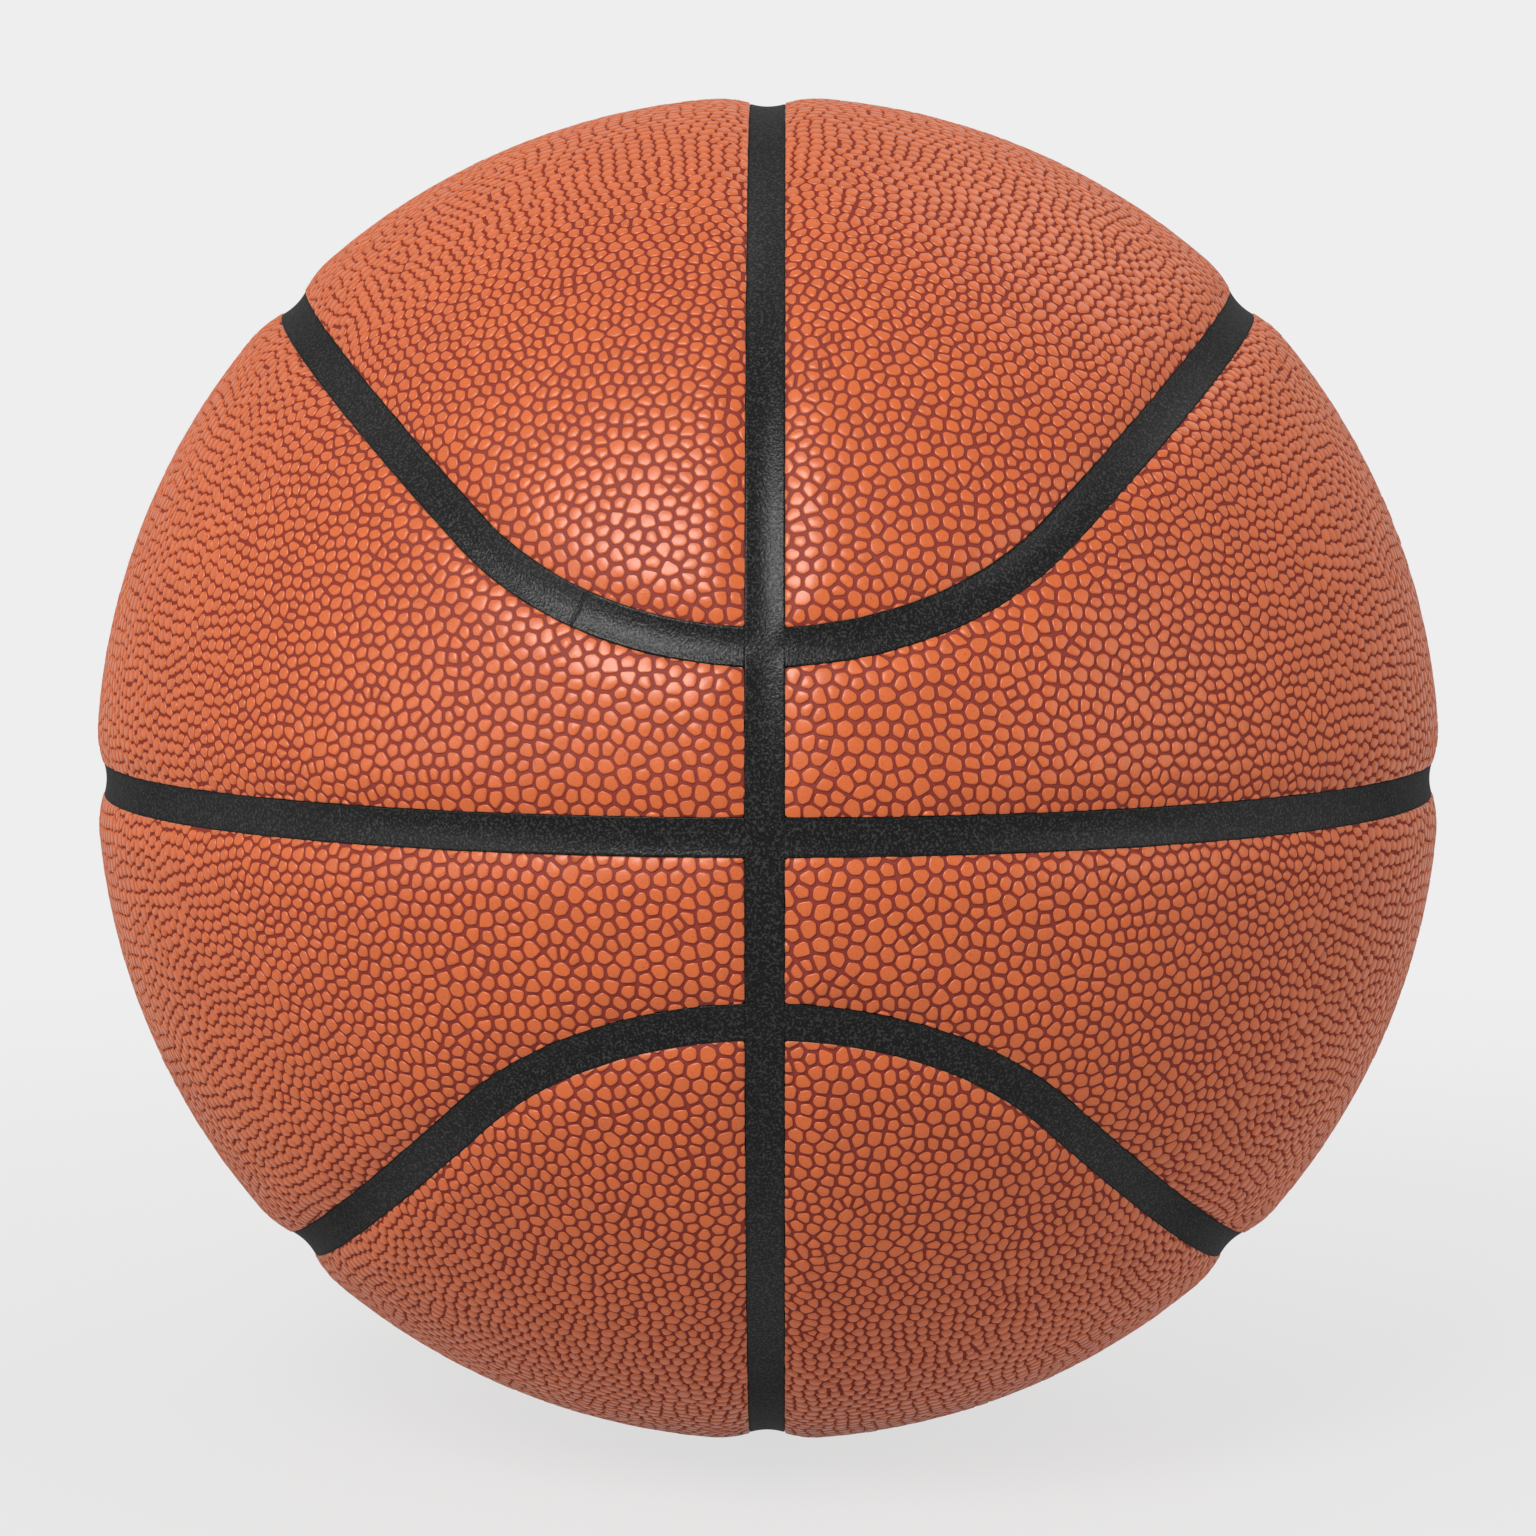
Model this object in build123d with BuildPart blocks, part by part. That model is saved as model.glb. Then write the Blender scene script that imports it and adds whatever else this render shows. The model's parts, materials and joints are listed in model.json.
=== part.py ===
from build123d import *

import os
from math import acos, asin, cos, degrees, radians, sin, sqrt, tan

# An inflated basketball: bladder, valve, thread winding, rubber carcass, sponge cushions, leather cover
# panels and the black rubber strips that fill the seams between them.
#
# The origin is the ball's centre. The equator seam lies level in the XY plane and the meridian seam
# stands in the YZ plane, so the two cross at the front of the ball, which faces -Y, and at the back.
# A curved seam runs above the equator and another below it. Each one follows two great circles, the
# legs, that lean out to the left and right, and turns from one leg to the other in a round bend at the
# front and at the back. Lengths are in millimetres and angles in degrees.

# The layers, from the outside in
ball_radius = 120.0
panel_thickness = 1.3
cushion_thickness = 2.0
carcass_thickness = 0.7
winding_thickness = 0.5
bladder_thickness = 0.75
glue_line = 0.05

# The seams
strip_width = 6.2
strip_edge_drop = 1.45
strip_middle_drop = 1.65
strip_side_gap = 0.05
shoulder_width = 8.0
shoulder_drop = 1.2
shoulder_lift = 0.06
leg_lean = 45.0
bend_centre_elevation = 42.8

# The valve, which sits at the back of the upper right crown panel
valve_lean = 22.5
valve_tilt_back = 40.0
valve_neck_radius = 3.6
valve_recess = 0.8
valve_flange_radius = 11.0
valve_flange_thickness = 1.6
valve_stem_radius = 4.8
valve_stem_length = 16.0
plug_radius = 2.3
plug_foot_radius = 3.1
plug_foot_length = 5.0
plug_clearance = 0.03
plug_recess = 0.4
needle_radius = 1.05
needle_hole_floor = 3.0

# Radii of the layers
cushion_depth = panel_thickness + glue_line
cushion_inner_radius = ball_radius - cushion_depth - cushion_thickness
carcass_outer_radius = cushion_inner_radius - glue_line
winding_outer_radius = carcass_outer_radius - carcass_thickness - glue_line
bladder_outer_radius = winding_outer_radius - winding_thickness - glue_line
bladder_inner_radius = bladder_outer_radius - bladder_thickness

# How far from the centre cutting shapes reach: just past the ball's surface, and well past it
outside = 1.05 * ball_radius
reach = 2 * ball_radius

# Directions that place the seams and the valve, all from the ball's centre
centre = Vector(0, 0, 0)
right = Vector(1, 0, 0)
up = Vector(0, 0, 1)
lean = radians(leg_lean)
bend_elevation = radians(bend_centre_elevation)
bend_angle = asin(sin(bend_elevation) * cos(lean))
bend_sweep = degrees(acos(cos(lean) * cos(bend_elevation) / cos(bend_angle)))
leg_sweep = 2 * degrees(asin(cos(bend_elevation) / cos(bend_angle)))
leg_normal = Vector(-sin(lean), 0, cos(lean))
valve_direction = Vector(
    sin(radians(valve_lean)) * cos(radians(valve_tilt_back)),
    sin(radians(valve_tilt_back)),
    cos(radians(valve_lean)) * cos(radians(valve_tilt_back)),
)
valve_side = Vector(cos(radians(valve_lean)), 0, -sin(radians(valve_lean)))
valve_axis = Axis(centre, valve_direction)
valve_base = Plane(origin=centre, x_dir=valve_side, z_dir=valve_direction)
valve_section = Plane(origin=centre, x_dir=valve_side, z_dir=valve_side.cross(valve_direction))

# Round shoulder of a panel, in a slice square to the seam: from the panel's edge beside the strip it rolls
# up to the crest, where it has come shoulder_lift clear of the ball's surface
panel_edge = strip_width / 2 + strip_side_gap
crest_angle = asin((panel_edge + shoulder_width) / ball_radius)
crest_direction = Vector(sin(crest_angle), cos(crest_angle))
crest_radius = ball_radius + shoulder_lift
edge_top = Vector(panel_edge, sqrt((ball_radius - shoulder_drop) ** 2 - panel_edge**2))
edge_sag = crest_radius - edge_top.dot(crest_direction)
shoulder_radius = (crest_direction * crest_radius - edge_top).length ** 2 / (2 * edge_sag)
shoulder_centre = crest_direction * (crest_radius - shoulder_radius)


def bend_axis(end):
    """The direction from the ball's centre to the middle of a bend, at the front (-1) or back (1)."""
    return Vector(0, end * cos(bend_elevation), sin(bend_elevation))


def bend_start(end):
    """The direction to the point where the right leg of the curved seam turns into a bend."""
    return (bend_axis(end) - leg_normal * sin(bend_angle)).normalized()


def seam_section(into, outward):
    """The plane square to a seam, with its x into the panel beside it and its y out at the seam."""
    return Plane(origin=centre, x_dir=into, z_dir=into.cross(outward))


def shoulder_profile(section, depth):
    """What a seam's shoulder takes off the ball, in a slice square to the seam, sunk by depth."""
    radius = shoulder_radius - depth
    start = Vector(0, shoulder_centre.Y + sqrt(radius**2 - shoulder_centre.X**2))
    middle_direction = (start - shoulder_centre).normalized() + crest_direction
    middle = shoulder_centre + middle_direction.normalized() * radius
    top = crest_direction * (crest_radius - depth)
    with BuildSketch(section) as profile:
        with BuildLine():
            ThreePointArc(start, middle, top)
            Polyline(top, (top.X, outside), (0, outside), start)
        make_face()
    return profile.sketch


def inside_curved_seam(shift):
    """All that lies inside the upper curved seam's right half, from shift inside its middle line."""
    with BuildPart() as inside:
        with BuildSketch(Plane(origin=leg_normal * shift, x_dir=(0, 1, 0), z_dir=leg_normal)):
            Rectangle(2 * reach, 2 * reach)
        extrude(amount=reach)
        for end in (-1, 1):
            with BuildSketch(seam_section(leg_normal, bend_start(end))):
                with BuildLine():
                    apex = (shift, shift / tan(bend_angle))
                    Polyline(apex, (shift, reach), (-reach, reach), (-reach, -reach / tan(bend_angle)), apex)
                make_face()
            revolve(
                axis=Axis(centre, bend_axis(end)),
                revolution_arc=end * bend_sweep,
                mode=Mode.SUBTRACT,
            )
    return inside.part


def along_curved_seam(front_profile, back_profile):
    """A profile carried along the upper curved seam's right half: the leg, then the bend at each end."""
    with BuildPart() as run:
        revolve(front_profile, axis=Axis(centre, leg_normal), revolution_arc=leg_sweep)
        for end, profile in ((-1, front_profile), (1, back_profile)):
            revolve(profile, axis=Axis(centre, bend_axis(end)), revolution_arc=end * bend_sweep)
    return run.part


def curved_shoulders(into, depth):
    """What the shoulders on one side of the curved seam's right half take off the ball, sunk by depth."""
    return along_curved_seam(
        shoulder_profile(seam_section(into, bend_start(-1)), depth),
        shoulder_profile(seam_section(into, bend_start(1)), depth),
    )


def crown_core(depth):
    """What lies under the upper right crown panel, when its top is sunk by depth."""
    with BuildPart() as core:
        Sphere(ball_radius - depth, rotation=(0, 90, 0))
        split(bisect_by=Plane.YZ.offset(panel_edge), keep=Keep.TOP)
        add(inside_curved_seam(panel_edge), mode=Mode.INTERSECT)
        add(curved_shoulders(leg_normal, depth), mode=Mode.SUBTRACT)
        meridian_profile = shoulder_profile(seam_section(right, up), depth)
        revolve(meridian_profile, axis=Axis.X, mode=Mode.SUBTRACT)
    return core.part


def equator_core(depth):
    """What lies under the upper right equator panel, when its top is sunk by depth."""
    with BuildPart() as core:
        Sphere(ball_radius - depth, rotation=(0, 0, 180))
        split(bisect_by=Plane.YZ.offset(panel_edge), keep=Keep.TOP)
        split(bisect_by=Plane.XY.offset(panel_edge), keep=Keep.TOP)
        add(inside_curved_seam(-panel_edge), mode=Mode.SUBTRACT)
        add(curved_shoulders(-leg_normal, depth), mode=Mode.SUBTRACT)
        meridian_profile = shoulder_profile(seam_section(right, up), depth)
        revolve(meridian_profile, axis=Axis.X, mode=Mode.SUBTRACT)
        equator_profile = shoulder_profile(seam_section(up, right), depth)
        revolve(equator_profile, axis=Axis.Z, mode=Mode.SUBTRACT)
    return core.part


# Hollow top of a strip, in a slice square to the seam: an arc through its middle and its two edges
strip_half_width = strip_width / 2
strip_edge_y = sqrt((ball_radius - strip_edge_drop) ** 2 - strip_half_width**2)
strip_middle_y = ball_radius - strip_middle_drop
strip_base_radius = carcass_outer_radius + glue_line
hollow_rise = strip_edge_y - strip_middle_y
hollow_radius = (strip_half_width**2 + hollow_rise**2) / (2 * hollow_rise)


def strip_profile(section):
    """The section of a seam strip, with its hollow top and its base on the carcass."""
    base_y = sqrt(strip_base_radius**2 - strip_half_width**2)
    with BuildSketch(section) as profile:
        with BuildLine():
            base = ThreePointArc(
                (-strip_half_width, base_y), (0, strip_base_radius), (strip_half_width, base_y)
            )
            top = RadiusArc(
                (-strip_half_width, strip_edge_y), (strip_half_width, strip_edge_y), -hollow_radius
            )
            Line(base @ 0, top @ 0)
            Line(base @ 1, top @ 1)
        make_face()
    return profile.sketch


def hollow_profile(section):
    """What the hollow top takes off a strip that starts out as high as the ball."""
    hollow_half_angle = degrees(asin(strip_width / hollow_radius))
    arc_start = 270 - hollow_half_angle
    with BuildSketch(section) as profile:
        with BuildLine():
            arc_centre = (0, strip_middle_y + hollow_radius)
            arc = CenterArc(arc_centre, hollow_radius, arc_start, 2 * hollow_half_angle)
            Polyline(arc @ 1, (strip_width, outside), (-strip_width, outside), arc @ 0)
        make_face()
    return profile.sketch


def round_layer(outer_radius, thickness):
    """A closed layer all round the ball, with the hole that the valve's neck comes through."""
    with BuildPart() as layer:
        Sphere(outer_radius)
        Sphere(outer_radius - thickness, mode=Mode.SUBTRACT)
        with BuildSketch(valve_base):
            Circle(valve_neck_radius + glue_line)
        extrude(amount=outer_radius, mode=Mode.SUBTRACT)
    return layer.part


# The quarters of the ball, and how an upper right piece gets there: mirrored to the left or not, and then
# turned about the Y axis, so that a piece turned over goes below and to the other side
quarters = (
    ("upper_right", False, 0),
    ("lower_left", False, 180),
    ("upper_left", True, 0),
    ("lower_right", True, 180),
)


def in_quarter(piece, mirrored, turn):
    """An upper right piece moved to another quarter of the ball."""
    with BuildPart() as moved:
        add(piece, rotation=(0, turn, 0))
        if mirrored:
            mirror(about=Plane.YZ, mode=Mode.REPLACE)
    return moved.part


def save(piece, name):
    """Labels a finished piece and writes it under its own name."""
    piece.label = name
    export_step(piece, f"parts/{name}.step")


os.makedirs("parts", exist_ok=True)

# The bladder, the thread wound on it and the rubber carcass moulded over the thread
save(round_layer(bladder_outer_radius, bladder_thickness), "bladder")
save(round_layer(winding_outer_radius, winding_thickness), "winding")
save(round_layer(carcass_outer_radius, carcass_thickness), "carcass")

# The valve body: a flange under the bladder, a stem inside and a neck out to the cover, bored for the plug
valve_top = ball_radius - valve_recess
flange_top_radius = bladder_inner_radius - glue_line
flange_rim_y = sqrt(flange_top_radius**2 - valve_flange_radius**2)
flange_neck_y = sqrt(flange_top_radius**2 - valve_neck_radius**2)
flange_base_y = flange_rim_y - valve_flange_thickness
valve_bottom = flange_base_y - valve_stem_length
plug_hole_radius = plug_radius + plug_clearance
foot_hole_radius = plug_foot_radius + plug_clearance
foot_top = valve_bottom + plug_foot_length
with BuildPart() as valve_body:
    with BuildSketch(valve_section):
        with BuildLine():
            Polyline(
                (valve_flange_radius, flange_rim_y),
                (valve_flange_radius, flange_base_y),
                (valve_stem_radius, flange_base_y),
                (valve_stem_radius, valve_bottom),
                (foot_hole_radius, valve_bottom),
                (foot_hole_radius, foot_top + plug_clearance),
                (plug_hole_radius, foot_top + plug_clearance),
                (plug_hole_radius, valve_top),
                (valve_neck_radius, valve_top),
                (valve_neck_radius, flange_neck_y),
            )
            RadiusArc(
                (valve_neck_radius, flange_neck_y),
                (valve_flange_radius, flange_rim_y),
                flange_top_radius,
            )
        make_face()
    revolve(axis=valve_axis)
save(valve_body.part, "valve_body")

# The plug, held by its wider foot, with the blind hole that the inflating needle goes into
plug_top = valve_top - plug_recess
needle_hole_end = valve_bottom + needle_hole_floor
with BuildPart() as valve_plug:
    with BuildSketch(valve_section):
        with BuildLine():
            Polyline(
                (0, valve_bottom),
                (plug_foot_radius, valve_bottom),
                (plug_foot_radius, foot_top),
                (plug_radius, foot_top),
                (plug_radius, plug_top),
                (needle_radius, plug_top),
                (needle_radius, needle_hole_end),
                (0, needle_hole_end),
                close=True,
            )
        make_face()
    revolve(axis=valve_axis)
save(valve_plug.part, "valve_plug")

# The cushions and the cover panels on them: a crown one and an equator one in each quarter
for kind, core in (("crown", crown_core), ("equator", equator_core)):
    with BuildPart() as cushion:
        add(core(cushion_depth))
        Sphere(cushion_inner_radius, mode=Mode.SUBTRACT)
    with BuildPart() as panel:
        add(core(0))
        add(core(panel_thickness), mode=Mode.SUBTRACT)
    for layer, piece in (("cushion", cushion.part), ("panel", panel.part)):
        for quarter, mirrored, turn in quarters:
            with BuildPart() as placed:
                add(in_quarter(piece, mirrored, turn))
                if (kind, quarter) == ("crown", "upper_right"):
                    with BuildSketch(valve_base):
                        Circle(valve_neck_radius + glue_line)
                    extrude(amount=reach, mode=Mode.SUBTRACT)
            save(placed.part, f"{layer}_{kind}_{quarter}")

# The strips: a whole ring in the meridian seam, and strips in the other seams that end against its sides
with BuildPart() as meridian_strip:
    revolve(strip_profile(seam_section(right, up)), axis=Axis.X)
save(meridian_strip.part, "strip_meridian")

strip_end = strip_half_width + strip_side_gap
with BuildPart() as equator_half:
    revolve(strip_profile(seam_section(up, right)), axis=Axis.Z)
    split(bisect_by=Plane.YZ.offset(strip_end), keep=Keep.TOP)
save(equator_half.part, "strip_equator_right")
save(in_quarter(equator_half.part, True, 0), "strip_equator_left")

with BuildPart() as curved_half:
    Sphere(ball_radius, rotation=(0, 90, 0))
    Sphere(strip_base_radius, rotation=(0, 90, 0), mode=Mode.SUBTRACT)
    split(bisect_by=Plane.YZ.offset(strip_end), keep=Keep.TOP)
    add(inside_curved_seam(-strip_half_width), mode=Mode.INTERSECT)
    add(inside_curved_seam(strip_half_width), mode=Mode.SUBTRACT)
    front_hollow = hollow_profile(seam_section(leg_normal, bend_start(-1)))
    back_hollow = hollow_profile(seam_section(leg_normal, bend_start(1)))
    add(along_curved_seam(front_hollow, back_hollow), mode=Mode.SUBTRACT)
for quarter, mirrored, turn in quarters:
    save(in_quarter(curved_half.part, mirrored, turn), f"strip_curved_{quarter}")
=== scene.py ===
# %% [markdown]
# # A basketball with real pebbles
#
# This lesson dresses the solid parts of a basketball: eight leather panels covered in moulded
# pebbles, the black rubber strips in the seams between them, and the valve. The solids give every
# size and place. Lengths are in metres, as Blender has them, and `mm` turns a size in millimetres
# into metres.

# %% Load the solid parts
import json
import math
import time

import bmesh
import bpy
import numpy as np
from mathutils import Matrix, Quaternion, Vector, noise


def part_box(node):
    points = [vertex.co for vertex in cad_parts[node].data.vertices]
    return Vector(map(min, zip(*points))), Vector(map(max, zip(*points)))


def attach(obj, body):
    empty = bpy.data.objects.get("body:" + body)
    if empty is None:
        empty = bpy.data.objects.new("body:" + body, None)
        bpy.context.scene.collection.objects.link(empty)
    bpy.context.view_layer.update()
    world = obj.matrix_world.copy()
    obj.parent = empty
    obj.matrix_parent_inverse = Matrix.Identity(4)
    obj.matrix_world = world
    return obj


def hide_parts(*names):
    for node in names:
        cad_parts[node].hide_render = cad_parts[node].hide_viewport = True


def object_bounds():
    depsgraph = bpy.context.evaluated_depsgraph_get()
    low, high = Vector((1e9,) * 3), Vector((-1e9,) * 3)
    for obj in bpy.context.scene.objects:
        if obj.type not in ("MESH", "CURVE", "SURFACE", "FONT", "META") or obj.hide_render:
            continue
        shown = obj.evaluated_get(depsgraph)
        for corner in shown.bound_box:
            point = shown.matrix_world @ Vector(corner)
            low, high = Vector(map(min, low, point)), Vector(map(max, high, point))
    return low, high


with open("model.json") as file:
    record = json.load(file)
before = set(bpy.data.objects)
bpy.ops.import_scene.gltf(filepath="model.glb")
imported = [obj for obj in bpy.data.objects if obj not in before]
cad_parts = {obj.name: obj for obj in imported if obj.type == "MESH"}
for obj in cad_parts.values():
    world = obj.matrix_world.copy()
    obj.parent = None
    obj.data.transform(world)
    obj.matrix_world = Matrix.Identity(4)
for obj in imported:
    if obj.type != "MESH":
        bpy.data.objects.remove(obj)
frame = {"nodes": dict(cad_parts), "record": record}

started = time.time()
cad_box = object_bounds()
mm = 0.001
solids = frame["nodes"]
ball_radius = max(v.co.length for v in solids["panel_crown_upper_left"].data.vertices)
strip_half_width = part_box("strip_meridian")[1].x
panel_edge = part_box("panel_crown_upper_right")[0].x
print(f"ball radius {ball_radius / mm:.2f} mm, strips {2 * strip_half_width / mm:.2f} mm wide")

# %% [markdown]
# ## Where the seams run
#
# One seam lies level round the ball, the equator. One stands upright through the front and the
# back, the meridian. Above and below the equator runs a curved seam: two straight legs that lean
# out by 45 degrees, each on a great circle, joined by round bends at the front and the back. On a
# ball a great circle and a round bend are both the cut of a flat plane, so every distance below is
# only an angle times the radius. The ball is alike in all eight of its corners, so the formulas
# work on the absolute coordinates.

# %% Distances to the seams
leg_lean = math.radians(45)
bend_elevation = math.radians(42.8)
bend_angle = math.asin(math.sin(bend_elevation) * math.cos(leg_lean))
bend_half_sweep = math.acos(math.cos(leg_lean) * math.cos(bend_elevation) / math.cos(bend_angle))
leg_sweep = 2 * math.asin(math.cos(bend_elevation) / math.cos(bend_angle))


def bend_axis(end, level):
    """The axis of a bend: end -1 is the front and 1 the back, level 1 is above the equator."""
    return Vector((0, end * math.cos(bend_elevation), level * math.sin(bend_elevation)))


def leg_axis(side, level):
    """The axis of a leg's great circle: side 1 is the right and -1 the left."""
    return Vector((-side * math.sin(leg_lean), 0, level * math.cos(leg_lean)))


def ball_directions(points):
    """Unit vectors from the ball's middle to the points."""
    return points / np.linalg.norm(points, axis=1, keepdims=True)


def in_bend(points):
    """Whether each point lies beside a round bend of the curved seam, rather than beside a leg."""
    x, y, z = np.abs(ball_directions(points)).T
    below = y * math.sin(bend_elevation) - z * math.cos(bend_elevation)
    return np.arctan2(x, below) < bend_half_sweep


def curved_seam_distance(points):
    """Distance along the surface to the curved seam, above nought on the crown's side."""
    x, y, z = np.abs(ball_directions(points)).T
    off_bend = np.clip(y * math.cos(bend_elevation) + z * math.sin(bend_elevation), -1, 1)
    off_leg = np.clip(z * math.cos(leg_lean) - x * math.sin(leg_lean), -1, 1)
    angle = np.where(in_bend(points), bend_angle - np.arccos(off_bend), np.arcsin(off_leg))
    return ball_radius * angle


def seam_distances(points):
    """Distances along the surface to the equator, the meridian and the nearest curved seam."""
    x, _, z = np.abs(ball_directions(points)).T
    equator = ball_radius * np.arcsin(np.clip(z, 0, 1))
    meridian = ball_radius * np.arcsin(np.clip(x, 0, 1))
    return np.stack([equator, meridian, np.abs(curved_seam_distance(points))])


def read_points(mesh):
    """The places of a mesh's vertices, as an array."""
    points = np.empty(3 * len(mesh.vertices), np.float32)
    mesh.vertices.foreach_get("co", points)
    return points.reshape(-1, 3).astype(float)


def read_attribute(mesh, name):
    """A number stored on each of a mesh's vertices, as an array."""
    numbers = np.empty(len(mesh.vertices), np.float32)
    mesh.attributes[name].data.foreach_get("value", numbers)
    return numbers.astype(float)


print(f"each leg of a curved seam turns through {math.degrees(leg_sweep):.1f} degrees")

# %% [markdown]
# ## The pattern of the pebbles
#
# The cover is embossed with thousands of small rounded pebbles that never line up for long. Bump
# could fake them, but then the outline of the ball and the cut edges of the panels would stay
# smooth. So each pebble is modelled. First come the pebbles' middles: a cube is divided and blown
# up to a ball. Then, a few times over, the points are shaken, the triangles between them are
# improved and each point moves to the middle of its own neighbourhood. The last rounds go without
# shaking. That breaks up the rows of the cube's grid and still spaces the points about as evenly as
# on the real cover.

# %% Spread the middles of the pebbles over the ball
pebbles_per_cube_edge = 73
shake = 0.16
shaken_rounds = 5
still_rounds = 4
rng = np.random.default_rng(11)


def set_on_ball(bm, points):
    """Moves the vertices of a bmesh to the given points, pulled onto the ball."""
    for vert, place in zip(bm.verts, ball_radius * ball_directions(points)):
        vert.co = place


def shake_points(bm):
    """Moves each point a little way at random."""
    points = np.array([vert.co for vert in bm.verts])
    set_on_ball(bm, points + rng.normal(0, shake * pebble_pitch, points.shape))


def improve_triangles(bm):
    """Turns the edges between triangles where that makes these less long and thin."""
    bmesh.ops.beautify_fill(bm, faces=bm.faces[:], edges=bm.edges[:], method="AREA")


def spread_evenly(bm):
    """Moves each point to the middle of the triangles round it, weighed by their areas."""
    improve_triangles(bm)
    points = np.array([vert.co for vert in bm.verts])
    triangles = np.array([[vert.index for vert in face.verts] for face in bm.faces])
    corners = points[triangles]
    middles = corners.mean(axis=1)
    spans = np.cross(corners[:, 1] - corners[:, 0], corners[:, 2] - corners[:, 0])
    weights = np.linalg.norm(spans, axis=1)
    total = np.zeros(len(points))
    moved = np.zeros((len(points), 3))
    for corner in range(3):
        np.add.at(total, triangles[:, corner], weights)
        np.add.at(moved, triangles[:, corner], weights[:, None] * middles)
    set_on_ball(bm, moved / total[:, None])


points_bm = bmesh.new()
bmesh.ops.create_cube(points_bm, size=2)
bmesh.ops.subdivide_edges(
    points_bm, edges=points_bm.edges[:], cuts=pebbles_per_cube_edge - 1, use_grid_fill=True
)
bmesh.ops.triangulate(points_bm, faces=points_bm.faces[:])
points_bm.verts.index_update()
area_of_one = 4 * math.pi * ball_radius**2 / len(points_bm.verts)
pebble_pitch = math.sqrt(area_of_one / math.sin(math.radians(60)))
cube_points = np.tan(np.array([vert.co for vert in points_bm.verts]) * math.pi / 4)
set_on_ball(points_bm, cube_points)
for number in range(shaken_rounds + still_rounds):
    if number < shaken_rounds:
        shake_points(points_bm)
    spread_evenly(points_bm)
improve_triangles(points_bm)
points_mesh = bpy.data.meshes.new("pebble_middles")
points_bm.to_mesh(points_mesh)
points_bm.free()
print(f"{len(points_mesh.vertices)} pebbles on the ball, {pebble_pitch / mm:.2f} mm apart")

# %% [markdown]
# ## A cell for each pebble
#
# The Dual Mesh node swaps corners and faces: every point becomes a cell with as many sides as the
# point had neighbours. These cells are the plots that the pebbles stand on, and their sides are the
# valleys between. Each corner of a cell then moves to the spot that is equally far from its three
# nearest middles, which makes the plots of many-sided and few-sided pebbles about the same size, as
# they are on the real cover. Sides too short to leave room for a valley are merged away.

# %% Turn the points into cells


def dual_mesh(mesh):
    """A new mesh with a face for each vertex of the given one."""
    tree = bpy.data.node_groups.new("cells_from_points", "GeometryNodeTree")
    tree.interface.new_socket("Points", in_out="INPUT", socket_type="NodeSocketGeometry")
    tree.interface.new_socket("Cells", in_out="OUTPUT", socket_type="NodeSocketGeometry")
    start = tree.nodes.new("NodeGroupInput")
    swap = tree.nodes.new("GeometryNodeDualMesh")
    end = tree.nodes.new("NodeGroupOutput")
    tree.links.new(start.outputs[0], swap.inputs[0])
    tree.links.new(swap.outputs[0], end.inputs[0])
    holder = bpy.data.objects.new("cell_holder", mesh)
    bpy.context.scene.collection.objects.link(holder)
    holder.modifiers.new("cells", "NODES").node_group = tree
    depsgraph = bpy.context.evaluated_depsgraph_get()
    cells = bpy.data.meshes.new_from_object(holder.evaluated_get(depsgraph))
    bpy.data.objects.remove(holder)
    bpy.data.node_groups.remove(tree)
    return cells


def equally_far(mesh):
    """For each triangle of a mesh on the ball, the spot equally far from its three corners."""
    corners = np.empty(3 * len(mesh.polygons), np.int32)
    mesh.loops.foreach_get("vertex_index", corners)
    one, two, three = read_points(mesh)[corners.reshape(-1, 3)].transpose(1, 0, 2)
    outward = ball_directions(np.cross(two - one, three - one))
    return ball_radius * outward * np.sign((outward * one).sum(axis=1))[:, None]


shortest_side = 0.62 * mm
cell_mesh = dual_mesh(points_mesh)
cell_mesh.vertices.foreach_set("co", equally_far(points_mesh).astype(np.float32).ravel())
cell_bm = bmesh.new()
cell_bm.from_mesh(cell_mesh)
bmesh.ops.remove_doubles(cell_bm, verts=cell_bm.verts[:], dist=shortest_side)
cell_bm.to_mesh(cell_mesh)
cell_bm.free()
cell_middles = np.empty(3 * len(cell_mesh.polygons), np.float32)
cell_mesh.polygons.foreach_get("center", cell_middles)
cell_middles = cell_middles.reshape(-1, 3).astype(float)
print(f"{len(cell_mesh.polygons)} cells in {time.time() - started:.1f} s")

# %% [markdown]
# ## From cells to pebbles
#
# A pebble is a plot with two insets. The first inset leaves the flat valley and gives the pebble's
# foot. Its sides get a point in the middle and its corners are pulled in, because real pebbles are
# rounded. The second inset leaves the steep wall, and what is left in the middle is the flat top.
# The foot is marked sharp, so that the light breaks there in a fine line. All of this still lies
# flat on the ball: a number on each vertex, its relief, says how high it will stand, from 0 in the
# valley to 1 on top.

# %% Build the pebbles of one panel
valley_half_width = 0.22 * mm
wall_width = 0.2 * mm
corner_rounding = 0.6
ring_rounding = 0.3
foot_relief = 0.08
size_spread = 0.035
relief_spread = 0.06


def add_layers(bm):
    """The numbers that a panel's vertices carry: relief, tone of a pebble, and cut edge or not."""
    return [bm.verts.layers.float.new(name) for name in ("relief", "tone", "cut")]


def round_off(ring, chosen, factor):
    """Pulls the chosen points of a ring towards the middle of their two neighbours."""
    places = [vert.co.copy() for vert in ring]
    for number, vert in enumerate(ring):
        if vert in chosen:
            between = (places[number - 1] + places[(number + 1) % len(ring)]) / 2
            vert.co = places[number].lerp(between, factor)


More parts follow.
